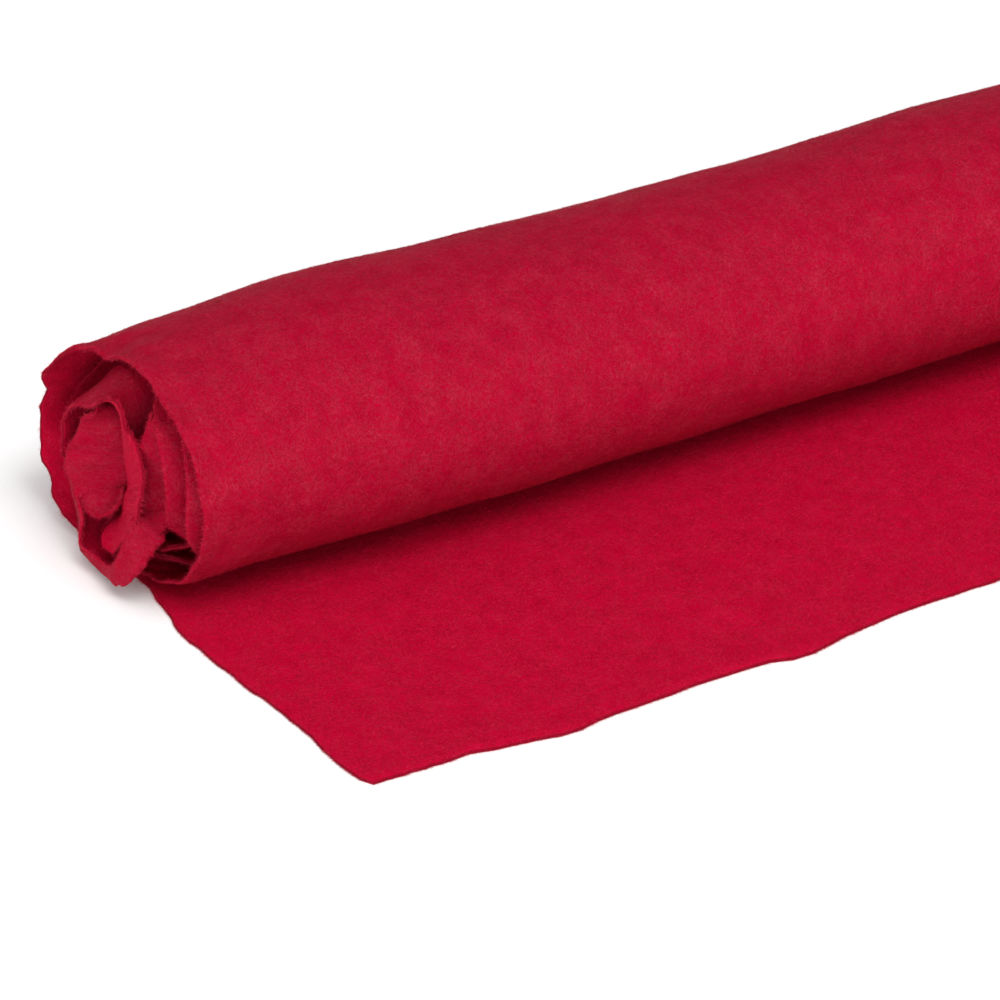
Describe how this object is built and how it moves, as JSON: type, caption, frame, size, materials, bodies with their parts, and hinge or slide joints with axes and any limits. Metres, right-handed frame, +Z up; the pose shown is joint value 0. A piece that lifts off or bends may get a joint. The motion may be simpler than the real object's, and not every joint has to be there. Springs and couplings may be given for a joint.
{
  "type": "roll of felt",
  "caption": "Loosely wound roll of thick wool felt, its free end laid flat in front of it and its inner wraps showing as an uneven rose-like spiral at one end.",
  "frame": {"origin": "Middle of the whole length of cloth in plan, on the surface that it rests on.", "axes": "+X runs along the roll away from its open, uneven end. -Y points to the free end of the cloth. +Z is up."},
  "size_m": [0.4638, 0.207, 0.0799],
  "materials": {
    "felt": "matt red wool felt"
  },
  "bodies": {
    "root": {"felt": "felt"}
  },
  "joints": []
}
